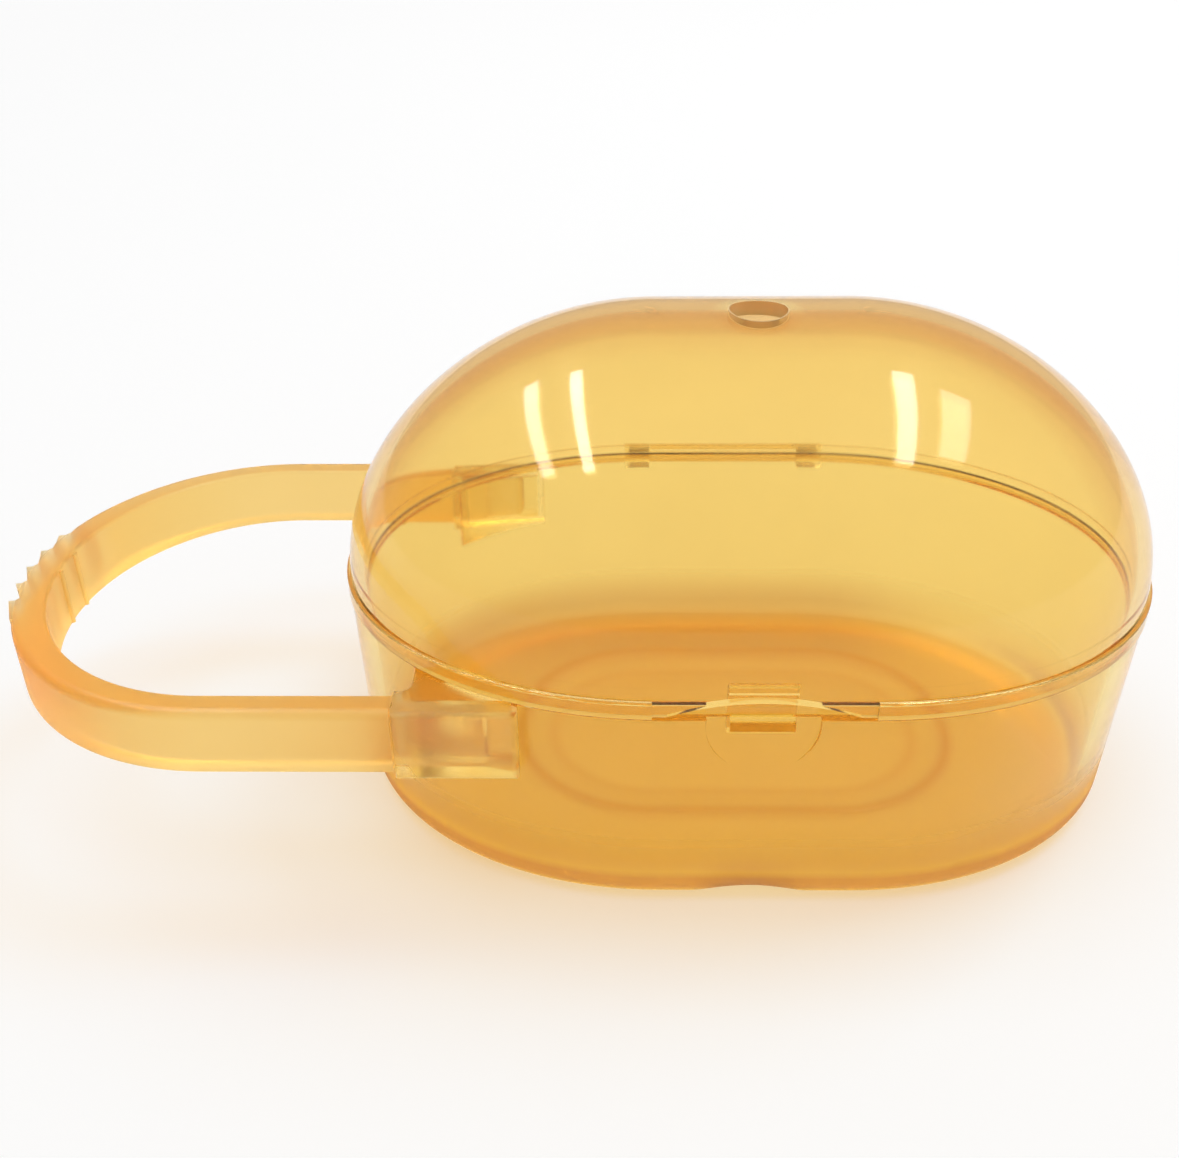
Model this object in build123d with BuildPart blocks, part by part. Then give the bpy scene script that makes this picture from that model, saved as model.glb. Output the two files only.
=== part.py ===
"""Travel case in which a baby's pacifier is carried and sterilised.

A drafted base with a foot ring carries a domed lid on a rear hinge. The lid's front tongue
snaps into a window in the base's wall, and a bow handle is plugged into two sleeves at the
base's left end. Millimetres; +Z is up, +X is the end away from the handle, +Y is the hinge
side, and the origin is the middle of the foot, on the surface that the case stands on.
"""

import math
import os

from build123d import *

# ---------------------------------------------------------------- driving dimensions
# Plan of the case, over the lid's band: a straight middle with half-ellipse ends.
case_length = 95.8
case_width = 61.8
straight_length = 22.0

# Heights and walls of the two shells.
rim_height = 26.65  # the base's rim above the foot
lid_height = 32.5  # the lid's crown above its own lower edge
closing_gap = 0.25  # the seam between the base's rim and the lid's lower edge
base_wall = 2.0
lid_wall = 1.6
floor_thickness = 1.6

# The lid's dome and the band around its lower edge.
band_height = 2.0
band_ledge = 0.45  # how far the band stands out of the dome
band_round = 0.25
dome_roundness = 0.515  # handle length of the dome's profile; 0.552 would be an ellipse
vent_radius = 3.2

# The base's wall leans in towards the foot.
base_inset = 0.2  # the base's rim lies this far inside the lid's band
base_draft = 1.05  # further inset at the foot
bottom_round = 3.4
cavity_round = 2.2

# Lip on the base's rim, which centres the lid.
lip_thickness = 0.9
lip_height = 1.4
lip_clearance = 0.2

# Foot ring, the drain notch through it and the water well in the floor.
foot_height = 1.2
foot_ring_width = 2.4
drain_notch_width = 17.0
drain_notch_height = 2.6
drain_notch_tilt = 15.0  # degrees; the notch's roof falls towards the middle of the case
well_length = 56.0
well_width = 33.0
well_straight = 22.0
well_slope = 4.5  # width of the well's sloping border
well_depth = 1.0
well_clearance = 0.3  # the well's belly above the surface that the case stands on
well_round = 7.0  # the border runs softly into the floor and into the well's bottom

# Latch: a thumb scoop and a window in the base, a tongue with a barb in the lid.
latch_x = -0.5  # the latch's middle
scoop_radius = 5.95
scoop_drop = 0.85  # the scoop's centre below the rim
scoop_depth = 0.75
scoop_tilt = 5.4  # degrees; the scoop fades out downwards
window_width = 6.8
window_height = 1.3
window_drop = 0.55  # the window's upper edge below the rim
tongue_width = 7.2
tongue_thickness = 1.1
tongue_drop = 3.0  # the tongue's tip below the rim
tongue_root = 1.1  # height of the block that joins the tongue to the lid
tongue_clearance = 0.35
barb_clearance = 0.25
barb_catch = 0.5  # how far the barb reaches into the window past the wall's inner face
front_gap_width = 23.0  # the band is left out over this width at the front
arch_width = 20.0
arch_height = 1.75

# Hinge: an ear at each side on the base, one long knuckle on the lid, and a pin.
hinge_width = 28.0
ear_width = 3.5
knuckle_gap = 0.2
barrel_radius = 1.25
barrel_clearance = 0.4  # between the barrels and the lid's band
pin_radius = 0.6
pin_running_clearance = 0.05
pin_end_inset = 0.6
gusset_drop = 1.8  # how far the ears' gussets run down the base's wall

# Bow handle: two straight arms and a half-ellipse bow.
arm_inset = 1.5  # the arms' outer faces lie this far inside the lid's band
handle_thickness = 3.25
handle_height = 8.0
handle_drop = 0.1  # the handle's upper face below the base's rim
sleeve_mouth_inset = 8.8  # from the case's end to the faces where arms and sleeves meet
arm_length = 20.7
bow_inner_reach = 24.1
bow_thickness = 4.1
handle_top_round = 1.1
handle_bottom_round = 0.3
handle_inner_round = 0.4

# Grip ridges: saw teeth outside the bow, low ribs inside it.
ridge_count = 5
ridge_pitch = 3.95
ridge_shift = 0.45  # the middle tooth's tip from the case's middle
ridge_height = 0.4  # how far the tips stand out of the bow
ridge_depth = 1.0  # how deep the teeth are cut into the bow
ridge_flank = 0.3  # width of a tooth's steep side
ridge_end_inset = 0.25
rib_count = 2
rib_pitch = 4.2
rib_shift = -0.45  # the first rib from the case's middle
rib_radius = 0.35

# Plug joint between the handle's arms and the base's sleeves.
plug_length = 10.0
plug_root_length = 4.4
plug_step = 0.2  # the plug is this much thinner all round beyond its root
plug_thickness = 2.0
plug_height = 6.2
plug_clearance = 0.1
plug_end_gap = 2.5
plug_tip_chamfer = 0.4
butt_gap = 0.15  # between the arms' ends and the sleeves' mouths
sleeve_end_wall = 0.7
sleeve_outer_wall = 0.95
sleeve_inner_wall = 1.0
sleeve_bottom_wall = 1.5
sleeve_round = 0.7
web_setback = 1.8  # the web between sleeve and base starts this far behind the sleeve's mouth
web_round = 1.2

# ---------------------------------------------------------------- sizes that follow
half_width = case_width / 2
lid_bottom = rim_height + closing_gap
band_top = lid_bottom + band_height
crown_height = lid_bottom + lid_height
floor_top = foot_height + floor_thickness

lip_inset = base_inset + base_wall - lip_thickness
rebate_inset = lip_inset - lip_clearance
lip_top = rim_height + lip_height
cavity_inset = base_inset + base_wall
lid_inner_inset = band_ledge + lid_wall

foot_inset = base_inset + base_draft
recess_inset = foot_inset + bottom_round + foot_ring_width

hinge_y = half_width + barrel_clearance + barrel_radius
hinge_z = lid_bottom
knuckle_width = hinge_width - 2 * ear_width - 2 * knuckle_gap
pin_length = hinge_width - 2 * pin_end_inset

handle_inner_width = case_width - 2 * (arm_inset + handle_thickness)
handle_joint_x = sleeve_mouth_inset - case_length / 2
bow_centre_x = handle_joint_x - arm_length
bow_outer_reach = bow_inner_reach + bow_thickness
handle_top = rim_height - handle_drop
handle_bottom = handle_top - handle_height

plug_y = (handle_inner_width + handle_thickness) / 2
plug_z = handle_bottom + handle_height / 2
pocket_depth = plug_length + plug_end_gap
pocket_thickness = plug_thickness + 2 * plug_clearance
pocket_height = plug_height + 2 * plug_clearance
sleeve_end_x = handle_joint_x + pocket_depth + sleeve_end_wall
sleeve_outer_y = plug_y + pocket_thickness / 2 + sleeve_outer_wall
sleeve_inner_y = plug_y - pocket_thickness / 2 - sleeve_inner_wall
sleeve_bottom = plug_z - pocket_height / 2 - sleeve_bottom_wall
web_x = handle_joint_x + web_setback
overcut = 1.0  # how far a cutting shape runs past the face that it cuts
arch_overcut = 0.15

barrel_reach = barrel_radius * math.sin(math.radians(45))

window_z = rim_height - window_drop - window_height / 2
drain_notch_radius = ((drain_notch_width / 2) ** 2 + drain_notch_height**2) / (2 * drain_notch_height)
arch_radius = ((arch_width / 2) ** 2 + arch_height**2) / (2 * arch_height)

tongue_outer_y = half_width - cavity_inset - tongue_clearance
tongue_inner_y = tongue_outer_y - tongue_thickness
tongue_tip_z = rim_height - tongue_drop
root_outer_y = half_width - (band_ledge + lid_inner_inset) / 2
root_bottom_z = lid_bottom + arch_height + closing_gap
root_top_z = root_bottom_z + tongue_root
barb_reach_y = half_width - cavity_inset + barb_catch
barb_top_z = window_z + window_height / 2 - barb_clearance
barb_bottom_z = window_z - window_height / 2 + barb_clearance
barb_lip = (barb_top_z - barb_bottom_z) / 3

scoop_lean = math.radians(scoop_tilt)
scoop_face = Plane(
    origin=(latch_x, -(half_width - base_inset - scoop_depth), rim_height),
    x_dir=(1, 0, 0),
    z_dir=(0, -math.cos(scoop_lean), math.sin(scoop_lean)),
)

notch_fall = math.radians(drain_notch_tilt)
notch_face = Plane(
    origin=(latch_x, foot_inset - half_width, 0),
    x_dir=(1, 0, 0),
    z_dir=(0, -math.cos(notch_fall), math.sin(notch_fall)),
)


# ---------------------------------------------------------------- shared shapes
def oval(length, width, straight):
    """Add an oval with straight sides and half-ellipse ends to the open sketch."""
    reach = (length - straight) / 2
    middle = straight / 2
    with BuildLine() as outline:
        right = EllipticalCenterArc((middle, 0), reach, width / 2, -90, arc_size=180)
        left = EllipticalCenterArc((-middle, 0), reach, width / 2, 90, arc_size=180)
        Line(right @ 1, left @ 0)
        Line(left @ 1, right @ 0)
    make_face(outline.edges())


def case_plan(inset):
    """Add the case's plan, moved in by inset, to the open sketch."""
    oval(case_length - 2 * inset, case_width - 2 * inset, straight_length)


def dome(inset, springing, crown):
    """A solid dome over the case's plan, moved in by inset, from springing up to crown.

    It is made round-ended, as half a turn of one profile at each end, and is then
    stretched along X so that its ends become the plan's half ellipses.
    """
    radius = half_width - inset
    stretch = ((case_length - straight_length) / 2 - inset) / radius
    half_run = straight_length / 2 / stretch
    rise = crown - springing
    side = (-radius, springing)
    shoulder = (-radius, springing + dome_roundness * rise)
    brow = (-dome_roundness * radius, crown)
    top = (0, crown)
    with BuildPart() as shape:
        with BuildSketch(Plane.YZ.offset(half_run)) as profile:
            with BuildLine():
                Bezier(side, shoulder, brow, top)
                Polyline(top, (0, springing), side)
            make_face()
        revolve(axis=Axis((half_run, 0, 0), (0, 0, 1)), revolution_arc=180)
        mirror(about=Plane.YZ)
        with BuildSketch(Plane.YZ.offset(-half_run)):
            with BuildLine():
                Bezier(side, shoulder, brow, top)
                Polyline(top, (0, springing), side)
            make_face()
            mirror(about=Plane.YZ)
        extrude(amount=2 * half_run)
        scale(by=(stretch, 1, 1))
    return shape.part


def is_well_edge(edge, level):
    """Whether an edge is an upper or lower edge of the well's border, at that level."""
    middle = edge @ 0.5
    within = abs(middle.X) < (well_length + well_slope) / 2 and abs(middle.Y) < (well_width + well_slope) / 2
    return within and abs((edge @ 0).Z - level) < 0.01 and abs(middle.Z - level) < 0.01


def is_web_corner(edge):
    """Whether an edge is an upright corner beside a sleeve's web."""
    middle = edge @ 0.5
    upright = abs((edge % 0.5).Z) > 0.9
    return upright and abs(middle.X - web_x) < web_round / 2 and abs(middle.Y) > web_round


# ---------------------------------------------------------------- base
with BuildPart() as cavity:
    with BuildSketch(Plane.XY.offset(floor_top)):
        case_plan(cavity_inset + base_draft)
    with BuildSketch(Plane.XY.offset(rim_height)):
        case_plan(cavity_inset)
    loft()
    fillet(faces().sort_by(Axis.Z)[0].edges(), cavity_round)
    with BuildSketch(Plane.XY.offset(rim_height)):
        case_plan(cavity_inset)
    extrude(amount=lip_height + overcut)
    # The water well sinks into the floor with a sloping border.
    with BuildSketch(Plane.XY.offset(floor_top)):
        oval(well_length, well_width, well_straight)
    with BuildSketch(Plane.XY.offset(floor_top - well_depth)):
        oval(well_length - 2 * well_slope, well_width - 2 * well_slope, well_straight)
    loft()
    for level in (floor_top, floor_top - well_depth):
        fillet(edges().filter_by(lambda e: is_well_edge(e, level)), well_round)

with BuildPart() as underside:
    with BuildSketch(Plane.XY.offset(-overcut)):
        case_plan(recess_inset)
    extrude(amount=overcut + foot_height)
    # The belly of the well hangs into the recess.
    with BuildSketch(Plane.XY.offset(foot_height)):
        oval(well_length, well_width, well_straight)
    with BuildSketch(Plane.XY.offset(well_clearance)):
        oval(well_length - 2 * well_slope, well_width - 2 * well_slope, well_straight)
    loft(mode=Mode.SUBTRACT)
    for level in (foot_height, well_clearance):
        fillet(edges().filter_by(lambda e: is_well_edge(e, level)), well_round)

with BuildPart() as base_shell:
    with BuildSketch():
        case_plan(foot_inset)
    with BuildSketch(Plane.XY.offset(rim_height)):
        case_plan(base_inset)
    loft()
    fillet(faces().sort_by(Axis.Z)[0].edges(), bottom_round)

    # Sleeves that take the handle's plugs, each with a web to the base's wall.
    for side in (-1, 1):
        with BuildSketch(Plane.XY.offset(sleeve_bottom)):
            with BuildLine():
                Polyline(
                    (handle_joint_x, side * sleeve_outer_y),
                    (sleeve_end_x, side * sleeve_outer_y),
                    (sleeve_end_x, 0),
                    (web_x, 0),
                    (web_x, side * sleeve_inner_y),
                    (handle_joint_x, side * sleeve_inner_y),
                    close=True,
                )
            make_face()
        extrude(amount=rim_height - sleeve_bottom)
    for last in (0, -1):
        fillet(faces().filter_by(Axis.Y).sort_by(Axis.Y)[last].edges(), sleeve_round)
    fillet(edges().filter_by(is_web_corner), web_round)

    # Lip on the rim.
    with BuildSketch(Plane.XY.offset(rim_height)):
        case_plan(lip_inset)
    extrude(amount=lip_height)

    # Hinge ears, each a barrel on a gusset that runs down the rear wall.
    for side in (-1, 1):
        with BuildSketch(Plane.YZ.offset(side * (hinge_width - ear_width) / 2)):
            with Locations((hinge_y, hinge_z)):
                Circle(barrel_radius)
            with BuildLine():
                Polyline(
                    (half_width - cavity_inset, rim_height),
                    (hinge_y, rim_height),
                    (hinge_y + barrel_reach, hinge_z - barrel_reach),
                    (half_width - cavity_inset, rim_height - gusset_drop),
                    close=True,
                )
            make_face()
        extrude(amount=ear_width / 2, both=True)

    add(cavity.part, mode=Mode.SUBTRACT)
    add(underside.part, mode=Mode.SUBTRACT)

    # Pockets in the sleeves.
    with BuildSketch(Plane.YZ.offset(handle_joint_x)):
        with Locations((-plug_y, plug_z), (plug_y, plug_z)):
            Rectangle(pocket_thickness, pocket_height)
    extrude(amount=pocket_depth, mode=Mode.SUBTRACT)

    # Bore for the hinge pin.
    with BuildSketch(Plane.YZ):
        with Locations((hinge_y, hinge_z)):
            Circle(pin_radius)
    extrude(amount=hinge_width, both=True, mode=Mode.SUBTRACT)

    # Thumb scoop in the front wall, on a face that leans out towards its lower end.
    with BuildSketch(scoop_face):
        with Locations((0, -scoop_drop)):
            Circle(scoop_radius)
    extrude(amount=scoop_depth + overcut, mode=Mode.SUBTRACT)

    # Window that the lid's barb snaps into.
    with BuildSketch(Plane.XZ.offset(half_width - cavity_inset - overcut)):
        with Locations((latch_x, window_z)):
            Rectangle(window_width, window_height)
    extrude(amount=cavity_inset + 2 * overcut, mode=Mode.SUBTRACT)

    # Drain notch through the front of the foot ring.
    with BuildSketch(notch_face):
        with Locations((0, drain_notch_height - drain_notch_radius)):
            Circle(drain_notch_radius)
    extrude(amount=recess_inset, both=True, mode=Mode.SUBTRACT)

# ---------------------------------------------------------------- lid
outer_dome = dome(band_ledge, band_top, crown_height)
inner_dome = dome(lid_inner_inset, band_top, crown_height - lid_wall)

with BuildPart() as lid_shell:
    with BuildSketch(Plane.XY.offset(lid_bottom)):
        case_plan(0)
    extrude(amount=band_height)
    fillet(faces().sort_by(Axis.Z)[-1].edges(), band_round)
    add(outer_dome)

    # The band is left out at the front, where the latch is.
    with BuildSketch(Plane.XY.offset(lid_bottom)):
        with Locations((latch_x, -half_width)):
            Rectangle(front_gap_width, 2 * band_ledge)
    extrude(amount=band_height, mode=Mode.SUBTRACT)

    # Web of the hinge knuckle.
    with BuildSketch(Plane.YZ):
        with BuildLine():
            Polyline(
                (half_width - lid_inner_inset, hinge_z),
                (hinge_y, hinge_z),
                (hinge_y, hinge_z + barrel_radius),
                (half_width - lid_inner_inset, hinge_z + barrel_radius),
                close=True,
            )
        make_face()
        with Locations((hinge_y, hinge_z)):
            Circle(barrel_radius)
    extrude(amount=knuckle_width / 2, both=True)

    # Inside of the lid, with the rebate that takes the base's lip.
    add(inner_dome, mode=Mode.SUBTRACT)
    with BuildSketch(Plane.XY.offset(lid_bottom)):
        case_plan(lid_inner_inset)
    extrude(amount=band_height, mode=Mode.SUBTRACT)
    with BuildSketch(Plane.XY.offset(lid_bottom)):
        case_plan(rebate_inset)
    extrude(amount=lip_top - lid_bottom, mode=Mode.SUBTRACT)

    # Finger arch in the front edge.
    with BuildSketch(Plane.XZ.offset(half_width - lid_inner_inset - arch_overcut)):
        with Locations((latch_x, lid_bottom + arch_height - arch_radius)):
            Circle(arch_radius)
    extrude(amount=lid_inner_inset + arch_overcut + overcut, mode=Mode.SUBTRACT)

    # Latch tongue, hung from a root on the lid's front wall.
    with BuildSketch(Plane.YZ.offset(latch_x)):
        with BuildLine():
            Polyline(
                (-tongue_outer_y, tongue_tip_z),
                (-tongue_outer_y, root_bottom_z),
                (-root_outer_y, root_bottom_z),
                (-root_outer_y, root_top_z),
                (-tongue_outer_y, root_top_z),
                (-tongue_inner_y, root_top_z - tongue_thickness),
                (-tongue_inner_y, tongue_tip_z),
                close=True,
            )
        make_face()
    extrude(amount=tongue_width / 2, both=True)

    # Barb: a ramp below and a flat step above.
    with BuildSketch(Plane.YZ.offset(latch_x)):
        with BuildLine():
            Polyline(
                (-tongue_outer_y, barb_top_z),
                (-barb_reach_y, barb_top_z),
                (-barb_reach_y, barb_top_z - barb_lip),
                (-tongue_outer_y, barb_bottom_z),
                close=True,
            )
        make_face()
    extrude(amount=window_width / 2 - barb_clearance, both=True)

    # Steam vent in the crown.
    with Locations((0, 0, crown_height)):
        Hole(vent_radius, depth=2 * lid_wall)

    # Bore of the knuckle, which turns on the pin.
    with BuildSketch(Plane.YZ):
        with Locations((hinge_y, hinge_z)):
            Circle(pin_radius + pin_running_clearance)
    extrude(amount=hinge_width, both=True, mode=Mode.SUBTRACT)

# ---------------------------------------------------------------- hinge pin
with BuildPart() as hinge_pin:
    with BuildSketch(Plane.YZ):
        with Locations((hinge_y, hinge_z)):
            Circle(pin_radius)
    extrude(amount=pin_length / 2, both=True)

# ---------------------------------------------------------------- handle
inner_y = handle_inner_width / 2
outer_y = inner_y + handle_thickness
arm_end_x = handle_joint_x - butt_gap


def bow_x(y, reach, half_span):
    """X of the bow's half ellipse with this reach and half span, at y."""
    return bow_centre_x - reach * math.sqrt(1 - (y / half_span) ** 2)


def bow_point(y, proud):
    """A point of the bow's outline at y, standing proud of its outer face."""
    return (bow_x(y, bow_outer_reach, outer_y) - proud, y)


def is_long_edge(edge, side_y, apex_x, level):
    """Whether an edge runs along the arm or the bow at that level, on the wall at side_y and apex_x."""
    middle = edge @ 0.5
    flat = abs((edge % 0.5).Z) < 0.1 and abs(middle.Z - level) < 0.1
    return flat and (abs(abs(middle.Y) - side_y) < 0.1 or abs(middle.X - apex_x) < 0.1)


tip_ys = [ridge_shift + (index - (ridge_count - 1) / 2) * ridge_pitch for index in range(ridge_count)]
ridges_start = tip_ys[0] - ridge_pitch
ridges_end = tip_ys[-1] + ridge_pitch

with BuildPart() as handle_bow:
    with BuildSketch(Plane.XY.offset(handle_bottom)):
        with BuildLine():
            inside = EllipticalCenterArc((bow_centre_x, 0), bow_inner_reach, inner_y, 90, arc_size=180)
            outside = EllipticalCenterArc((bow_centre_x, 0), bow_outer_reach, outer_y, 90, arc_size=180)
            Polyline(inside @ 0, (arm_end_x, inner_y), (arm_end_x, outer_y), outside @ 0)
            Polyline(inside @ 1, (arm_end_x, -inner_y), (arm_end_x, -outer_y), outside @ 1)
        make_face()
    extrude(amount=handle_height)
    outer_apex = bow_centre_x - bow_outer_reach
    inner_apex = bow_centre_x - bow_inner_reach
    fillet(edges().filter_by(lambda e: is_long_edge(e, outer_y, outer_apex, handle_top)), handle_top_round)
    fillet(edges().filter_by(lambda e: is_long_edge(e, outer_y, outer_apex, handle_bottom)), handle_bottom_round)
    for level in (handle_bottom, handle_top):
        fillet(edges().filter_by(lambda e: is_long_edge(e, inner_y, inner_apex, level)), handle_inner_round)

    # Saw teeth across the outside of the bow's end: first the land that carries their tips,
    # then one cut that leaves the teeth standing.
    with BuildSketch(Plane.XY.offset(handle_bottom + ridge_end_inset)):
        with BuildLine():
            Polyline(
                bow_point(ridges_start, -bow_thickness / 2),
                bow_point(ridges_start, 0),
                *[bow_point(y, ridge_height) for y in tip_ys],
                bow_point(tip_ys[-1] + ridge_flank, 0),
                bow_point(tip_ys[-1] + ridge_flank, -bow_thickness / 2),
                close=True,
            )
        make_face()
    extrude(amount=handle_height - 2 * ridge_end_inset)
    with BuildSketch(Plane.XY.offset(handle_bottom)):
        with BuildLine():
            cut = [(outer_apex - overcut, tip_ys[0])]
            for y in tip_ys:
                cut += [bow_point(y, ridge_height), bow_point(y + ridge_flank, -ridge_depth)]
            cut += [bow_point(ridges_end, 0), (outer_apex - overcut, ridges_end)]
            Polyline(*cut, close=True)
        make_face()
    extrude(amount=handle_height, mode=Mode.SUBTRACT)

    # Low ribs inside it.
    for index in range(rib_count):
        rib_y = rib_shift + index * rib_pitch
        with BuildSketch(Plane.XY.offset(handle_bottom + ridge_end_inset)):
            with Locations((bow_x(rib_y, bow_inner_reach, inner_y), rib_y)):
                Circle(rib_radius)
        extrude(amount=handle_height - 2 * ridge_end_inset)

    # Plugs that go into the sleeves, each a full-size root and a slightly thinner end.
    with BuildSketch(Plane.YZ.offset(arm_end_x)):
        with Locations((-plug_y, plug_z), (plug_y, plug_z)):
            Rectangle(plug_thickness, plug_height)
    extrude(amount=butt_gap + plug_root_length)
    with BuildSketch(Plane.YZ.offset(arm_end_x)):
        with Locations((-plug_y, plug_z), (plug_y, plug_z)):
            Rectangle(plug_thickness - 2 * plug_step, plug_height - 2 * plug_step)
    extrude(amount=butt_gap + plug_length)
    for tip in faces().filter_by(Axis.X).sort_by(Axis.X)[-2:]:
        chamfer(tip.edges(), plug_tip_chamfer)

# ---------------------------------------------------------------- files
os.makedirs("parts", exist_ok=True)
pieces = {
    "base_shell": base_shell,
    "lid_shell": lid_shell,
    "hinge_pin": hinge_pin,
    "handle_bow": handle_bow,
}
for name, piece in pieces.items():
    piece.part.label = name
    export_step(piece.part, f"parts/{name}.step")
    print(name, piece.part.is_valid, round(piece.part.volume, 1), len(piece.part.solids()))
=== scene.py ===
"""Looks of the amber pacifier case: clear tinted plastic on a pale floor under soft light.

The pieces keep their CAD shapes. This script gives them procedural materials, shades the two
shells by the exact normals of their curved surfaces, and adds camera, floor, world and lamps.
"""

import math

import bpy
import numpy as np
from mathutils import Matrix, Vector
from mathutils.kdtree import KDTree

MM = 0.001

# Sizes of the case, in millimetres, as in the CAD model.
CASE_LENGTH = 95.8
CASE_WIDTH = 61.8
STRAIGHT = 22.0
RIM_Z = 26.65
LID_Z = 26.9
BAND_Z = 28.9
CROWN_Z = 59.4
LID_WALL = 1.6
BAND_LEDGE = 0.45
DOME_ROUNDNESS = 0.515
BASE_INSET = 0.2
BASE_DRAFT = 1.05
BASE_WALL = 2.0
FLOOR_Z = 2.8
FOOT_Z = 1.2
BOTTOM_ROUND = 3.4
CAVITY_ROUND = 2.2
LIP_INSET = 1.3
LIP_REACH = 2.0  # more than the lip's height
REBATE_INSET = 1.1
WELL_LENGTH = 56.0
WELL_WIDTH = 33.0
WELL_SLOPE = 4.5
WELL_DEPTH = 1.0
WELL_BELLY = 0.9
WELL_ROUND = 7.0
RECESS_INSET = 7.05
VENT_RADIUS = 3.2

# Zones of the looks, in millimetres: each change starts at the first place and ends at the second.
CROWN_ZONE_Z = (40.0, 52.0)
KNUCKLE_Y = (CASE_WIDTH / 2 + 0.1, CASE_WIDTH / 2 + 0.3)
REAR_Y = (4.0, 20.0)
EARS_X = (-22.0, -20.0)
RIGHT_END_X = (18.0, 34.0)
# Where the painted shade low on the base's rear fades out upwards.
WALL_FOOT_Z = (4.5, 8.5)
DULL_FOOT_Z = (5.5, 11.0)
FOOT_LINE_Y = (-5.0, 20.0)
WELL_LINES_Z = (3.0, 3.4)
PLUG_X = (-39.4, -38.9)
TEETH_X = (-85.2, -84.2)
BOW_END_X = (-82.0, -70.0)

# The same beside a height, or beside the vent's wall.
# The painted dark line of shade at the foot sits at this height.
FOOT_LINE_Z = 3.0
FOOT_LINE_HALF = (0.7, 1.8)
LID_EDGE_HALF = (0.01, 0.03)
VENT_WALL = (0.1, 0.2)
# How far round the vent's wall its painted shade reaches.
VENT_TINTED = (0.1, 2.0)

# Where the painted dark line of shade at the foot lies.
FOOT_SKIN_INSET = 4.5  # the line at the foot lies outside the oval this far in from the case's
# The well's painted dark lines of shade: their half width, and each line's inset and strength.
WELL_LINE_HALF = 1.3
WELL_LINES = ((0.2, 1.0), (WELL_SLOPE, 0.5))  # each line's inset and strength
# The lid's painted edge shade: where it starts and is full, and how strong it is below and above the crown
# zone.
ON_EDGE = (0.42, 0.78)  # where the deeper tint starts and is full; 0 is square on, 1 edge on
EDGE_STRENGTH = (0.6, 1.6)  # below the crown zone and above it
# Strength of the painted shade low at the rear, inside the well.
IN_WELL_STRENGTH = 0.45  # of the tint low at the rear

# How far outside an oval a change ends, as a share of the oval's size.
BEYOND_WALL = 0.012
BEYOND_FOOT_SKIN = 0.02
BEYOND_WELL = 0.06

# Tints of the faces; of two, the colour wanders between them.
LID_TINTS = ((0.988, 0.85, 0.5), (0.982, 0.84, 0.485))
BASE_TINTS = ((0.965, 0.85, 0.5), (0.96, 0.835, 0.48))
HANDLE_TINTS = ((1.0, 0.855, 0.46), (1.0, 0.835, 0.43))
# Painted shade, deeper where the lid's wall is seen edge on, standing in for the longer way light takes
# through it.
PAINTED_EDGE_SHADE = (0.76, 0.42, 0.18)
# Painted shade on and round the vent's wall.
PAINTED_VENT_SHADE = (0.92, 0.66, 0.33)
# Painted shade low at the base's rear.
PAINTED_LOW_SHADE = (0.83, 0.66, 0.38)
# Painted shade: dark lines along the well's edges.
PAINTED_WELL_SHADE = (0.84, 0.58, 0.26)
# Painted shade: a dark line low round the front of the foot.
PAINTED_FOOT_SHADE = (0.64, 0.4, 0.38)
SLEEVE_TINT = (1.0, 0.97, 0.84)
HINGE_TINT = (1.0, 0.97, 0.88)
PIN_TINT = (1.0, 0.95, 0.82)
PLUG_TINT = (1.0, 0.96, 0.8)
TEETH_PALER = 0.5

# Roughness and clearness; of two, the value wanders between them.
POLISHED = (0.04, 0.07)
SATIN = (0.28, 0.34)
DULL_FOOT = 0.5
SATIN_FIXTURES = 0.22
DULL_BOW_END = 0.22
CLEAR = (1.0, 0.98)
MILKY = (0.94, 0.9)
MILKY_VENT_WALL = 0.7
MILKY_LID_EDGE = 0.5
CLEARER_PLUG = 0.06

# What the plastic absorbs between its faces, and what it lets through to what lies behind.
SHELL_ABSORBED = (0.968, 0.763, 0.0)
HANDLE_ABSORBED = (1.0, 0.72, 0.0)
SHELL_DENSITY = 93.0
HANDLE_DENSITY = 180.0
PASSED_LIGHT = (0.955, 0.875, 0.69)
PLASTIC_IOR = 1.35

# Noises, as scale and detail.
FINE_NOISE = (60, 3)
BROAD_NOISE = (25, 2)
PIN_NOISE = (200, 2)
NOISE_RANGE = (0.3, 0.7)  # where the noise mostly stays

# Exact normals, in millimetres.
FAR = 9.0  # the distance given where a surface doesn't reach
SLACK = 0.01
NEAR = 0.04  # a face whose corners are all nearer than this is on the surface
ALIKE = 0.985  # least cosine between a face's own normal and the surface's
DOME_SAMPLES = 6001
ROUND_SAMPLES = 7200
FLAT_SAMPLES = 400
WELL_SAMPLES = 4001
WELL_MARGIN = 3.0  # how far past the slope's two ends the well's profile is sampled
WELL_INSETS = (-40.0, WELL_WIDTH / 2 - 0.05)  # least and most inset that is tried
HALVINGS = 40
ROUND_ABOVE = 0.3  # how far above its arcs' centres a round is still looked for
ROUND_BEHIND = 0.05  # and how far behind them
TINY = 1e-12  # added to what is divided by

# The camera, from a fit to the case's outline: millimetres and degrees.
SENSOR_WIDTH = 36.0
LENS = 39.0
CAMERA_PLACE = (-16.7, -134.47, 107.07)
CAMERA_YAW = -0.848
CAMERA_PITCH = 31.44
CAMERA_ROLL = -0.4125
CLIP = (0.005, 20.0)  # nearest and farthest that it sees, in metres

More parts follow.
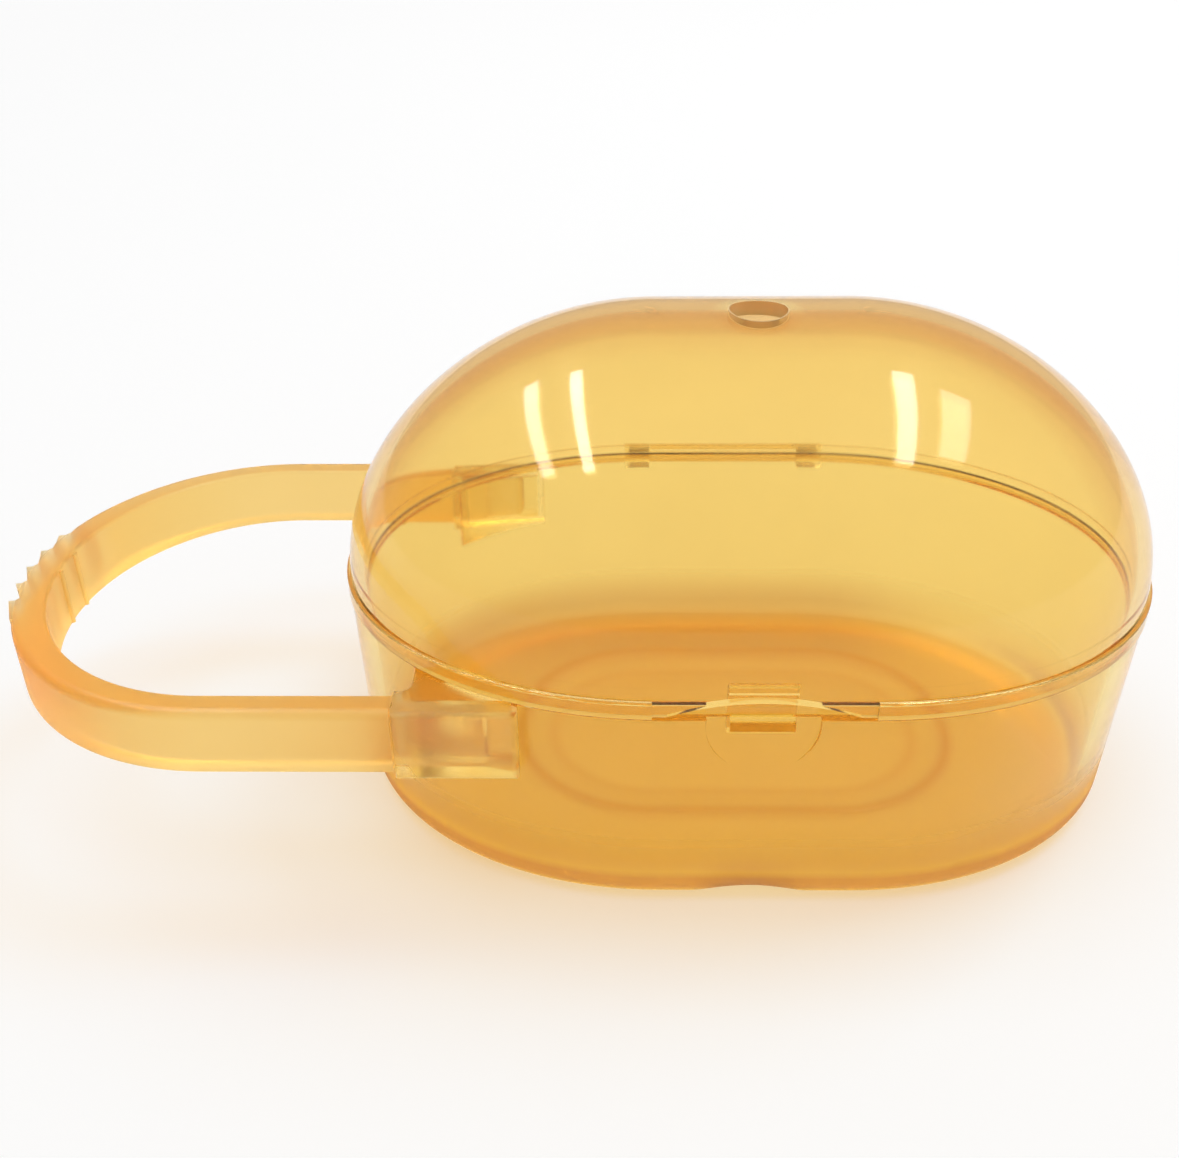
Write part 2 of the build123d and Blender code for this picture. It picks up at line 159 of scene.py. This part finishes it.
# Floor, world and strip lamps, in metres.
FLOOR_REACH = 4.0
FLOOR_DROP = 0.03 * MM  # just clear of the foot, so that the two never mix
FLOOR_SHADE = (0.93, 0.93, 0.93)
FLOOR_GLOW = 0.14
FADE_OVAL = 1000.0  # length and width, in millimetres, of the oval on which the level is 1
FADE_LEVELS = (0.6, 2.4)  # where the floor's fading starts and ends
WHITE = (1, 1, 1)
WORLD_LIGHT = 0.35
WORLD_MIRRORED = 0.42
STRIP_HEIGHT = 2.4


# ---------------------------------------------------------------- node helpers
def new_material(name):
    """A node material with nothing in it but its output."""
    material = bpy.data.materials.new(name)
    material.use_nodes = True
    material.node_tree.nodes.clear()
    output = material.node_tree.nodes.new("ShaderNodeOutputMaterial")
    return material, material.node_tree, output


def part_vector(tree):
    """A point's place in the part's own space, in metres."""
    return tree.nodes.new("ShaderNodeTexCoord").outputs["Object"]


def part_place(tree, axis):
    """One coordinate of that place."""
    split = tree.nodes.new("ShaderNodeSeparateXYZ")
    tree.links.new(part_vector(tree), split.inputs["Vector"])
    return split.outputs[axis]


def add_noise(tree, scale, detail):
    """Noise in the part's own space, as a factor."""
    noise = tree.nodes.new("ShaderNodeTexNoise")
    noise.inputs["Scale"].default_value = scale
    noise.inputs["Detail"].default_value = detail
    tree.links.new(part_vector(tree), noise.inputs["Vector"])
    return noise.outputs["Fac"]


def spread(tree, factor, low, high, from_low, from_high):
    """A factor's from_low..from_high mapped onto low..high, and held there beyond."""
    node = tree.nodes.new("ShaderNodeMapRange")
    node.inputs["From Min"].default_value = from_low
    node.inputs["From Max"].default_value = from_high
    node.inputs["To Min"].default_value = low
    node.inputs["To Max"].default_value = high
    tree.links.new(factor, node.inputs["Value"])
    return node.outputs["Result"]


def wander(tree, bounds):
    """A value that wanders between two bounds over the surface."""
    return spread(tree, add_noise(tree, *FINE_NOISE), *bounds, *NOISE_RANGE)


def calculate(tree, operation, first, second=0.0):
    """One step of arithmetic; second is a number or a socket."""
    node = tree.nodes.new("ShaderNodeMath")
    node.operation = operation
    tree.links.new(first, node.inputs[0])
    if isinstance(second, (int, float)):
        node.inputs[1].default_value = second
    else:
        tree.links.new(second, node.inputs[1])
    return node.outputs["Value"]


def product(tree, first, *others):
    """Factors multiplied together; all but the first may be numbers."""
    for other in others:
        first = calculate(tree, "MULTIPLY", first, other)
    return first


def vector_steps(tree, *steps):
    """A point's place taken through steps of vector arithmetic; LENGTH makes it a number."""
    vector = part_vector(tree)
    for operation, other in steps:
        node = tree.nodes.new("ShaderNodeVectorMath")
        node.operation = operation
        tree.links.new(vector, node.inputs[0])
        if other:
            node.inputs[1].default_value = other
        vector = node.outputs["Value" if operation == "LENGTH" else "Vector"]
    return vector


def along(tree, axis, zone, low=0.0, high=1.0):
    """A value that goes from low to high through a zone of one coordinate, in millimetres."""
    start, end = zone
    return spread(tree, part_place(tree, axis), low, high, start * MM, end * MM)


def at_height(tree, height, half):
    """1 near a height, falling to 0 between half's two distances from it, in millimetres."""
    off = calculate(tree, "SUBTRACT", part_place(tree, "Z"), height * MM)
    return spread(tree, calculate(tree, "ABSOLUTE", off), 1.0, 0.0, half[0] * MM, half[1] * MM)


def oval_level(tree, length, width):
    """How far out a point is in plan: 1 on the oval of that length and width, in millimetres."""
    reach = (length - STRAIGHT) / 2
    return vector_steps(
        tree,
        ("ABSOLUTE", None),
        ("SUBTRACT", (STRAIGHT / 2 * MM, 0, 1)),
        ("MAXIMUM", (0, 0, 0)),
        ("MULTIPLY", (1 / (reach * MM), 2 / (width * MM), 0)),
        ("LENGTH", None),
    )


def on_oval(tree, length, width, half_band):
    """1 on the line of an oval, falling to 0 at half_band beside it, in millimetres."""
    off = calculate(tree, "SUBTRACT", oval_level(tree, length, width), 1.0)
    return spread(tree, calculate(tree, "ABSOLUTE", off), 1.0, 0.0, 0.0, 2 * half_band / width)


def outside_oval(tree, length, width, share, low=0.0):
    """low on an oval and within it, rising to 1 at that share of its size further out."""
    return spread(tree, oval_level(tree, length, width), low, 1.0, 1.0, 1.0 + share)


def mix_colours(tree, factor, first, second):
    """A colour that goes from first to second with factor; each is a tuple or a socket."""
    node = tree.nodes.new("ShaderNodeMix")
    node.data_type = "RGBA"
    colours = [s for s in node.inputs if s.type == "RGBA"]
    for socket, value in zip(colours, (first, second), strict=True):
        if isinstance(value, tuple):
            socket.default_value = (*value, 1)
        else:
            tree.links.new(value, socket)
    tree.links.new(factor, node.inputs["Factor"])
    return [s for s in node.outputs if s.type == "RGBA"][0]


def mix_shaders(tree, factor, first, second):
    """A shader that goes from first to second with factor."""
    mix = tree.nodes.new("ShaderNodeMixShader")
    for index, value in enumerate((factor, first, second)):
        tree.links.new(value, mix.inputs[index])
    return mix.outputs["Shader"]


def mottled(tree, tints):
    """A colour that wanders between two near tints."""
    return mix_colours(tree, add_noise(tree, *BROAD_NOISE), *tints)


# ---------------------------------------------------------------- parts of the pieces
def beside_vent(tree, zone):
    """1 on the wall of the vent, falling to 0 between zone's two distances beside it."""
    out = vector_steps(tree, ("MULTIPLY", (1, 1, 0)), ("LENGTH", None))
    near, far = ((VENT_RADIUS + beside) * MM for beside in zone)
    return spread(tree, out, 1.0, 0.0, near, far)


def beyond_wall(tree):
    """1 on what stands out of the base's oval wall, which is the sleeves and the hinge ears."""
    inset = 2 * BASE_INSET
    return outside_oval(tree, CASE_LENGTH - inset, CASE_WIDTH - inset, BEYOND_WALL)


def painted_foot_line(tree):
    """1 on a painted dark line of shade round the outside of the foot, only at the front."""
    line = at_height(tree, FOOT_LINE_Z, FOOT_LINE_HALF)
    front = along(tree, "Y", FOOT_LINE_Y, 1.0, 0.0)
    inset = 2 * FOOT_SKIN_INSET
    skin = outside_oval(tree, CASE_LENGTH - inset, CASE_WIDTH - inset, BEYOND_FOOT_SKIN)
    return product(tree, line, front, skin)


def on_plug(tree):
    """1 on the handle's plugs, 0 on the rest of it."""
    return along(tree, "X", PLUG_X)


# ---------------------------------------------------------------- colours
def lid_colour(tree):
    """The lid's tint, with painted shade where the wall is seen edge on, above all near the crown, and on
    and round the vent's wall.
    """
    edge = tree.nodes.new("ShaderNodeLayerWeight")
    edge.inputs["Blend"].default_value = 0.5
    # Painted shade where the wall is seen edge on.
    turned = spread(tree, edge.outputs["Facing"], 0.0, 1.0, *ON_EDGE)
    turned = product(tree, turned, along(tree, "Z", CROWN_ZONE_Z, *EDGE_STRENGTH))
    colour = mix_colours(tree, turned, mottled(tree, LID_TINTS), PAINTED_EDGE_SHADE)
    # Painted shade on and round the vent's wall.
    colour = mix_colours(tree, beside_vent(tree, VENT_TINTED), colour, PAINTED_VENT_SHADE)
    return mix_colours(tree, along(tree, "Y", KNUCKLE_Y), colour, HINGE_TINT)


def base_colour(tree):
    """The base's tint, with painted shade low at the rear, in a line at the foot and along the well's edges.

    Sleeves and hinge ears are paler.
    """
    # Painted shade low at the rear, outside the well and short of the right end.
    rear = along(tree, "Y", REAR_Y)
    low = along(tree, "Z", WALL_FOOT_Z, 1.0, 0.0)
    outside = outside_oval(tree, WELL_LENGTH, WELL_WIDTH, BEYOND_WELL, IN_WELL_STRENGTH)
    left = along(tree, "X", RIGHT_END_X, 1.0, 0.0)
    colour = mix_colours(tree, product(tree, low, outside, rear, left), mottled(tree, BASE_TINTS), PAINTED_LOW_SHADE)
    # Painted shade: a dark line low round the front of the foot.
    colour = mix_colours(tree, painted_foot_line(tree), colour, PAINTED_FOOT_SHADE)
    ears = product(tree, rear, along(tree, "X", EARS_X))
    fixture = mix_colours(tree, ears, SLEEVE_TINT, HINGE_TINT)
    colour = mix_colours(tree, beyond_wall(tree), colour, fixture)
    # Painted shade: dark lines along the edges of the well on the floor.
    on_floor = along(tree, "Z", WELL_LINES_Z, 1.0, 0.0)
    for inset, strength in WELL_LINES:
        line = on_oval(tree, WELL_LENGTH - 2 * inset, WELL_WIDTH - 2 * inset, WELL_LINE_HALF)
        colour = mix_colours(tree, product(tree, line, on_floor, strength), colour, PAINTED_WELL_SHADE)
    return colour


def handle_colour(tree):
    """The handle's own tint, paler on its plugs and, half as much, on its grip teeth."""
    teeth = along(tree, "X", TEETH_X, TEETH_PALER, 0.0)
    paler = calculate(tree, "MAXIMUM", on_plug(tree), teeth)
    return mix_colours(tree, paler, mottled(tree, HANDLE_TINTS), PLUG_TINT)


def pin_colour(tree):
    """Paler than the shells, for a pin so thin."""
    return mix_colours(tree, add_noise(tree, *PIN_NOISE), PIN_TINT, HINGE_TINT)


# ---------------------------------------------------------------- roughness
def polished(tree):
    return wander(tree, POLISHED)


def base_polish(tree):
    """Polished walls over a duller floor and foot; satin sleeves and hinge ears."""
    duller = along(tree, "Z", DULL_FOOT_Z, DULL_FOOT, 0.0)
    satin_part = product(tree, beyond_wall(tree), SATIN_FIXTURES)
    return calculate(tree, "ADD", polished(tree), calculate(tree, "MAXIMUM", duller, satin_part))


def handle_polish(tree):
    """Satin, and duller towards the end of the bow."""
    return calculate(tree, "ADD", wander(tree, SATIN), along(tree, "X", BOW_END_X, DULL_BOW_END, 0.0))


# ---------------------------------------------------------------- clearness
def clear(tree):
    return wander(tree, CLEAR)


def lid_clearness(tree):
    """Clear, but for the wall of the vent and the flat edge that faces the base's rim."""
    vent = product(tree, beside_vent(tree, VENT_WALL), MILKY_VENT_WALL)
    edge = product(tree, at_height(tree, LID_Z, LID_EDGE_HALF), MILKY_LID_EDGE)
    return calculate(tree, "SUBTRACT", clear(tree), calculate(tree, "MAXIMUM", vent, edge))


def handle_clearness(tree):
    """Slightly milky, and clearer on the plugs."""
    return calculate(tree, "ADD", wander(tree, MILKY), product(tree, on_plug(tree), CLEARER_PLUG))


# ---------------------------------------------------------------- the plastic
def clear_to_lamps(tree, shader):
    """The shader, with plain clear passage for rays that only carry light to what lies behind."""
    path = tree.nodes.new("ShaderNodeLightPath")
    passage = tree.nodes.new("ShaderNodeBsdfTransparent")
    passage.inputs["Color"].default_value = (*PASSED_LIGHT, 1)
    for ray in ("Is Diffuse Ray", "Is Shadow Ray"):
        shader = mix_shaders(tree, path.outputs[ray], shader, passage.outputs["BSDF"])
    return shader


def amber_plastic(name, colour, polish, clearness, absorbed, density):
    """Clear plastic: colour tints its faces, and absorbed and density what lies between them."""
    material, tree, output = new_material(name)
    shader = tree.nodes.new("ShaderNodeBsdfPrincipled")
    shader.inputs["IOR"].default_value = PLASTIC_IOR
    tree.links.new(polish(tree), shader.inputs["Roughness"])
    tree.links.new(clearness(tree), shader.inputs["Transmission Weight"])
    tree.links.new(colour(tree), shader.inputs["Base Color"])
    tree.links.new(clear_to_lamps(tree, shader.outputs["BSDF"]), output.inputs["Surface"])
    absorb = tree.nodes.new("ShaderNodeVolumeAbsorption")
    absorb.inputs["Color"].default_value = (*absorbed, 1)
    absorb.inputs["Density"].default_value = density
    tree.links.new(absorb.outputs["Volume"], output.inputs["Volume"])
    return material


def dress(node, material):
    """Give a CAD node that one material."""
    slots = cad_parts[node].material_slots
    for slot in slots:
        slot.material = material
    if not slots:
        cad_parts[node].data.materials.append(material)


# ---------------------------------------------------------------- true surface normals
# The facets' own normals are a fraction of a degree off, which makes what is seen through
# two walls wavy. These functions give the exact ones of the case's curved surfaces.
def beyond_straight(points):
    """How far along X each point lies beyond the straight middle of the plan."""
    return np.maximum(np.abs(points[:, 0]) - STRAIGHT / 2, 0) * np.sign(points[:, 0])


def wall_normals(points, z_low, inset_low, z_high, inset_high):
    """Distance to, and outward normal of, an oval wall that leans from one inset to another."""
    lean = (inset_high - inset_low) / (z_high - z_low)
    inset = inset_low + lean * (points[:, 2] - z_low)
    reach = (CASE_LENGTH - STRAIGHT) / 2 - inset
    half = CASE_WIDTH / 2 - inset
    beyond = beyond_straight(points)
    level = (beyond / reach) ** 2 + (points[:, 1] / half) ** 2 - 1
    up = 2 * lean * (beyond**2 / reach**3 + points[:, 1] ** 2 / half**3)
    slope = np.stack([2 * beyond / reach**2, 2 * points[:, 1] / half**2, up], 1)
    size = np.linalg.norm(slope, axis=1) + TINY
    inside = (points[:, 2] > z_low - SLACK) & (points[:, 2] < z_high + SLACK)
    return np.where(inside, np.abs(level) / size, FAR), slope / size[:, None]


def upright_normals(points, z_low, z_high, inset):
    """The same of an oval wall that stands upright."""
    return wall_normals(points, z_low, inset, z_high, inset)


def dome_normals(points, inset, springing, crown):
    """Distance to, and outward normal of, a dome over the case's plan."""
    radius = CASE_WIDTH / 2 - inset
    stretch = ((CASE_LENGTH - STRAIGHT) / 2 - inset) / radius
    rise = crown - springing
    # The profile from springing to crown, a cubic curve: distances out and up.
    t = np.linspace(0, 1, DOME_SAMPLES)
    r = (1 - t) ** 2 * (1 + 2 * t) * radius + 3 * (1 - t) * t**2 * DOME_ROUNDNESS * radius
    z = 3 * (1 - t) ** 2 * t * DOME_ROUNDNESS * rise + t**2 * (3 - 2 * t) * rise
    beyond = beyond_straight(points) / stretch
    out = np.hypot(beyond, points[:, 1])
    here = np.interp(np.arctan2(points[:, 2] - springing, out), np.arctan2(z, r), t)
    near_r = np.interp(here, t, r)
    near_z = np.interp(here, t, z)
    away = np.hypot(near_r - out, near_z - (points[:, 2] - springing))
    slope_r = np.interp(here, t, np.gradient(r, t))
    slope_z = np.interp(here, t, np.gradient(z, t))
    safe = np.maximum(out, 1e-9)
    normal = np.stack([slope_z * beyond / safe / stretch, slope_z * points[:, 1] / safe, -slope_r], 1)
    normal /= np.linalg.norm(normal, axis=1)[:, None] + TINY
    return np.where(points[:, 2] > springing - SLACK, away, FAR), normal


def base_wall_inset(z):
    return BASE_INSET + BASE_DRAFT * (1 - z / RIM_Z)


def cavity_wall_inset(z):
    return BASE_INSET + BASE_WALL + BASE_DRAFT * (RIM_Z - z) / (RIM_Z - FLOOR_Z)


def round_centres(radius, inset):
    """Centres of a round's arcs all along an oval wall, and the wall's outward direction at each."""
    reach = (CASE_LENGTH - STRAIGHT) / 2 - inset
    half = CASE_WIDTH / 2 - inset
    turns = np.linspace(0, 2 * math.pi, ROUND_SAMPLES, endpoint=False)
    x = np.cos(turns) * reach + np.sign(np.cos(turns)) * STRAIGHT / 2
    y = np.sin(turns) * half
    out = np.stack([np.cos(turns) / reach, np.sin(turns) / half], 1)
    out /= np.linalg.norm(out, axis=1)[:, None]
    centres = np.stack([x, y], 1) - out * radius
    flats = np.linspace(-STRAIGHT / 2, STRAIGHT / 2, FLAT_SAMPLES)
    for side in (-1, 1):
        row = np.stack([flats, np.full(FLAT_SAMPLES, side * (half - radius))], 1)
        centres = np.vstack([centres, row])
        out = np.vstack([out, np.tile([0.0, side], (FLAT_SAMPLES, 1))])
    return centres, out


def round_normals(points, flat_z, radius, inset_at):
    """Distance to, and outward normal of, the round between a flat floor and the leaning wall."""
    slant = math.sqrt(1 + (inset_at(0) - inset_at(1)) ** 2)
    centre_z = flat_z + radius
    centres, out = round_centres(radius * slant, inset_at(centre_z))
    tree = KDTree(len(centres))
    for index, place in enumerate(centres):
        tree.insert((*place, 0), index)
    tree.balance()
    away = np.full(len(points), FAR)
    normal = np.zeros((len(points), 3))
    reached = (points[:, 2] > flat_z - SLACK) & (points[:, 2] < centre_z + ROUND_ABOVE)
    for index in np.nonzero(reached)[0]:
        _, found, _ = tree.find((points[index, 0], points[index, 1], 0))
        outward = (points[index, :2] - centres[found]) @ out[found]
        if outward < -ROUND_BEHIND:
            continue
        drop = centre_z - points[index, 2]
        away[index] = abs(math.hypot(outward, drop) - radius)
        size = math.hypot(outward, drop) + TINY
        normal[index] = (*(out[found] * outward / size), -drop / size)
    return away, normal


def well_inset(points):
    """How far inside the well's outline each point lies, found by halving."""
    reach, half = (WELL_LENGTH - STRAIGHT) / 2, WELL_WIDTH / 2
    beyond = beyond_straight(points)
    low, high = (np.full(len(points), inset) for inset in WELL_INSETS)
    for _ in range(HALVINGS):
        middle = (low + high) / 2
        outside = (beyond / (reach - middle)) ** 2 + (points[:, 1] / (half - middle)) ** 2 > 1
        high = np.where(outside, middle, high)
        low = np.where(outside, low, middle)
    return (low + high) / 2


def well_normals(points, top_z, depth):
    """Distance to, and upward normal of, a flat floor with the soft-edged oval well in it."""
    # The slope's angle and the height on the way from the floor into the well.
    fall = math.atan2(depth, WELL_SLOPE)
    soft = WELL_ROUND * math.tan(fall / 2)
    u = np.linspace(-WELL_MARGIN, WELL_SLOPE + WELL_MARGIN, WELL_SAMPLES)
    into = np.arcsin(np.clip((u + soft) / WELL_ROUND, 0, math.sin(fall)))
    out = np.arcsin(np.clip((WELL_SLOPE + soft - u) / WELL_ROUND, 0, math.sin(fall)))
    angle = np.minimum(into, out)
    height = top_z - np.cumsum(np.tan(angle)) * (u[1] - u[0])
    beyond = beyond_straight(points)
    inset = well_inset(points)
    a, b = (WELL_LENGTH - STRAIGHT) / 2 - inset, WELL_WIDTH / 2 - inset
    inward = -np.stack([2 * beyond / a**2, 2 * points[:, 1] / b**2], 1)
    inward /= (2 * beyond**2 / a**3 + 2 * points[:, 1] ** 2 / b**3 + 1e-9)[:, None]
    slope = np.tan(np.interp(inset, u, angle))
    normal = np.column_stack([slope[:, None] * inward, np.ones(len(points))])
    normal /= np.linalg.norm(normal, axis=1)[:, None]
    return np.abs(points[:, 2] - np.interp(inset, u, height)), normal


LID_SURFACES = (
    lambda p: dome_normals(p, BAND_LEDGE, BAND_Z, CROWN_Z),
    lambda p: dome_normals(p, BAND_LEDGE + LID_WALL, BAND_Z, CROWN_Z - LID_WALL),
    lambda p: upright_normals(p, LID_Z, BAND_Z, 0),
    lambda p: upright_normals(p, LID_Z, BAND_Z, BAND_LEDGE),
    lambda p: upright_normals(p, LID_Z, BAND_Z, BAND_LEDGE + LID_WALL),
    lambda p: upright_normals(p, LID_Z, BAND_Z, REBATE_INSET),
)
BASE_SURFACES = (
    lambda p: wall_normals(p, 0, base_wall_inset(0), RIM_Z, base_wall_inset(RIM_Z)),
    lambda p: wall_normals(p, FLOOR_Z, cavity_wall_inset(FLOOR_Z), RIM_Z, cavity_wall_inset(RIM_Z)),
    lambda p: upright_normals(p, RIM_Z, RIM_Z + LIP_REACH, LIP_INSET),
    lambda p: upright_normals(p, RIM_Z, RIM_Z + LIP_REACH, cavity_wall_inset(RIM_Z)),
    lambda p: upright_normals(p, 0, FOOT_Z, RECESS_INSET),
    lambda p: round_normals(p, 0, BOTTOM_ROUND, base_wall_inset),
    lambda p: round_normals(p, FLOOR_Z, CAVITY_ROUND, cavity_wall_inset),
    lambda p: well_normals(p, FLOOR_Z, WELL_DEPTH),
    lambda p: well_normals(p, FOOT_Z, WELL_BELLY),
)


def as_array(rows, name, count=1, kind=float):
    """One property of all rows of a mesh, with count numbers in each."""
    values = np.empty(len(rows) * count, kind)
    rows.foreach_get(name, values)
    return values.reshape(-1, count) if count > 1 else values


def store_true_normals(node, surfaces):
    """Keep on a CAD node, as an attribute, each face corner's normal, exact where it is known."""
    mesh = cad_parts[node].data
    points = as_array(mesh.vertices, "co", 3) / MM
    kept = as_array(mesh.corner_normals, "vector", 3)
    owners = as_array(mesh.loops, "vertex_index", kind=int)
    starts = as_array(mesh.polygons, "loop_start", kind=int)
    counts = as_array(mesh.polygons, "loop_total", kind=int)
    facing = as_array(mesh.polygons, "normal", 3)
    best = np.full(len(facing), ALIKE)
    for surface in surfaces:
        away, normal = surface(points)
        near = np.maximum.reduceat(away[owners], starts) < NEAR
        agree = np.add.reduceat(normal[owners], starts) / counts[:, None]
        agree = (agree * facing).sum(1)
        use = near & (np.abs(agree) > best)
        best[use] = np.abs(agree[use])
        corners = np.repeat(use, counts)
        kept[corners] = (normal[owners] * np.repeat(np.sign(agree), counts)[:, None])[corners]
    stored = mesh.attributes.new("true_normal", "FLOAT_VECTOR", "CORNER")
    stored.data.foreach_set("vector", kept.astype(np.float32).ravel())
    print("share of faces with exact normals on", node, round((best > ALIKE).mean(), 3))


def use_true_normals(nodes):
    """A modifier that shades the nodes by their stored normals."""
    tree = bpy.data.node_groups.new("true_normals", "GeometryNodeTree")
    tree.interface.new_socket("Geometry", in_out="INPUT", socket_type="NodeSocketGeometry")
    tree.interface.new_socket("Geometry", in_out="OUTPUT", socket_type="NodeSocketGeometry")
    enter = tree.nodes.new("NodeGroupInput")
    leave = tree.nodes.new("NodeGroupOutput")
    stored = tree.nodes.new("GeometryNodeInputNamedAttribute")
    stored.data_type = "FLOAT_VECTOR"
    stored.inputs["Name"].default_value = "true_normal"
    change = tree.nodes.new("GeometryNodeSetMeshNormal")
    change.mode = "FREE"
    change.domain = "CORNER"
    tree.links.new(enter.outputs["Geometry"], change.inputs["Mesh"])
    tree.links.new(stored.outputs["Attribute"], change.inputs["Custom Normal"])
    tree.links.new(change.outputs["Mesh"], leave.inputs["Geometry"])
    for node in nodes:
        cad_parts[node].modifiers.new("true_normals", "NODES").node_group = tree


# ---------------------------------------------------------------- stage
def add_to_scene(name, data):
    """A new object of that data."""
    made = bpy.data.objects.new(name, data)
    bpy.context.scene.collection.objects.link(made)
    return made


def make_camera():
    """The camera: yaw turns it right from +Y, pitch down, and roll about its own line of sight."""
    data = bpy.data.cameras.new("camera")
    data.sensor_width = SENSOR_WIDTH
    data.lens = LENS
    data.clip_start, data.clip_end = CLIP
    camera = add_to_scene("camera", data)
    yaw, pitch, roll = (math.radians(turn) for turn in (CAMERA_YAW, CAMERA_PITCH, CAMERA_ROLL))
    look = Vector((math.sin(yaw) * math.cos(pitch), math.cos(yaw) * math.cos(pitch), -math.sin(pitch)))
    turned = look.to_track_quat("-Z", "Y").to_matrix() @ Matrix.Rotation(roll, 3, "Z")
    camera.matrix_world = Matrix.Translation(Vector(CAMERA_PLACE) * MM) @ turned.to_4x4()
    bpy.context.scene.camera = camera


def seen_or_lit(tree, seen, mirrored, lit):
    """The shader seen, by the camera and through glass; mirrored, in reflections; else lit."""
    path = tree.nodes.new("ShaderNodeLightPath")
    result = lit
    for ray, shader in (("Is Glossy Ray", mirrored), ("Is Camera Ray", seen), ("Is Transmission Ray", seen)):
        result = mix_shaders(tree, path.outputs[ray], result, shader)
    return result


def white_light(tree, kind, strength):
    """A node of that kind that gives white light of that strength."""
    node = tree.nodes.new(kind)
    node.inputs["Color"].default_value = (*WHITE, 1)
    node.inputs["Strength"].default_value = strength
    return node.outputs[0]


def make_floor():
    """A white floor that keeps a light shadow and fades into the background far from the case."""
    mesh = bpy.data.meshes.new("floor")
    signs = ((-1, -1), (1, -1), (1, 1), (-1, 1))
    corners = [(x * FLOOR_REACH, y * FLOOR_REACH, -FLOOR_DROP) for x, y in signs]
    mesh.from_pydata(corners, [], [(0, 1, 2, 3)])
    floor = add_to_scene("floor", mesh)
    material, tree, output = new_material("floor")
    matt = tree.nodes.new("ShaderNodeBsdfDiffuse")
    matt.inputs["Color"].default_value = (*FLOOR_SHADE, 1)
    both = tree.nodes.new("ShaderNodeAddShader")
    tree.links.new(matt.outputs["BSDF"], both.inputs[0])
    tree.links.new(white_light(tree, "ShaderNodeEmission", FLOOR_GLOW), both.inputs[1])
    fade = spread(tree, oval_level(tree, FADE_OVAL, FADE_OVAL), 0.0, 1.0, *FADE_LEVELS)
    background = white_light(tree, "ShaderNodeEmission", 1.0)
    seen = mix_shaders(tree, fade, both.outputs["Shader"], background)
    tree.links.new(seen_or_lit(tree, seen, seen, matt.outputs["BSDF"]), output.inputs["Surface"])
    mesh.materials.append(material)


def make_world():
    """White all round, greyer in reflections and as light."""
    world = bpy.data.worlds.new("studio")
    bpy.context.scene.world = world
    world.use_nodes = True
    tree = world.node_tree
    tree.nodes.clear()
    output = tree.nodes.new("ShaderNodeOutputWorld")
    strengths = (1.0, WORLD_MIRRORED, WORLD_LIGHT)
    shades = [white_light(tree, "ShaderNodeBackground", strength) for strength in strengths]
    tree.links.new(seen_or_lit(tree, *shades), output.inputs["Surface"])


def make_strip(name, x, y, sides, radiance):
    """A strip lamp overhead, only to be mirrored; x, y and sides are parts of its height."""
    data = bpy.data.lights.new(name, "AREA")
    data.shape = "RECTANGLE"
    data.size, data.size_y = (side * STRIP_HEIGHT for side in sides)
    data.energy = radiance * math.pi * data.size * data.size_y
    lamp = add_to_scene(name, data)
    lamp.location = (x * STRIP_HEIGHT, y * STRIP_HEIGHT, STRIP_HEIGHT)
    lamp.visible_diffuse = False


def make_soft_lamp(name, place, size, light):
    """A broad lamp at place, aimed at the case, unseen in it, which gives the floor that much light."""
    data = bpy.data.lights.new(name, "AREA")
    data.size = size
    lamp = add_to_scene(name, data)
    lamp.location = place
    lamp.rotation_euler = Vector(place).to_track_quat("Z", "Y").to_euler()
    far = lamp.location.length
    data.energy = light * math.pi * far**2 / (place[2] / far)
    lamp.visible_glossy = False
    lamp.visible_transmission = False


# ---------------------------------------------------------------- the scene
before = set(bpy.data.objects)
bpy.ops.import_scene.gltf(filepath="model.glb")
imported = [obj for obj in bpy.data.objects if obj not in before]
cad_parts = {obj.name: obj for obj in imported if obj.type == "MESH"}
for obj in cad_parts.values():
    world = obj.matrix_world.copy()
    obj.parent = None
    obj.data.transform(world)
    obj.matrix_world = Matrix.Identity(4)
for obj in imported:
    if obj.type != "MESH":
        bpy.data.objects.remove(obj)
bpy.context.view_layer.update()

store_true_normals("lid_shell", LID_SURFACES)
store_true_normals("base_shell", BASE_SURFACES)
use_true_normals(["lid_shell", "base_shell"])

amber_lid = amber_plastic("amber_lid", lid_colour, polished, lid_clearness, SHELL_ABSORBED, SHELL_DENSITY)
amber_base = amber_plastic("amber_base", base_colour, base_polish, clear, SHELL_ABSORBED, SHELL_DENSITY)
amber_bow = amber_plastic(
    "amber_handle", handle_colour, handle_polish, handle_clearness, HANDLE_ABSORBED, HANDLE_DENSITY
)
amber_pin = amber_plastic("amber_pin", pin_colour, polished, clear, SHELL_ABSORBED, SHELL_DENSITY)
dress("base_shell", amber_base)
dress("lid_shell", amber_lid)
dress("handle_bow", amber_bow)
dress("hinge_pin", amber_pin)

make_camera()
make_floor()
make_world()
make_strip("strip_left_low", x=-0.667, y=0.100, sides=(0.100, 1.000), radiance=12.0)
make_strip("strip_left_high", x=-0.383, y=0.025, sides=(0.067, 0.933), radiance=18.0)
make_strip("strip_right_high", x=0.350, y=-0.033, sides=(0.108, 0.767), radiance=14.0)
make_strip("strip_right_low", x=0.650, y=-0.017, sides=(0.200, 0.583), radiance=6.0)
make_soft_lamp("key", place=(1.15, 0.75, 1.9), size=1.1, light=0.75)
make_soft_lamp("overhead", place=(-0.1, 0.0, 2.4), size=2.2, light=1.35)

scene = bpy.context.scene
scene.view_settings.view_transform = "Standard"
scene.cycles.max_bounces = 32
scene.cycles.transmission_bounces = 32
scene.cycles.glossy_bounces = 16
scene.cycles.transparent_max_bounces = 32
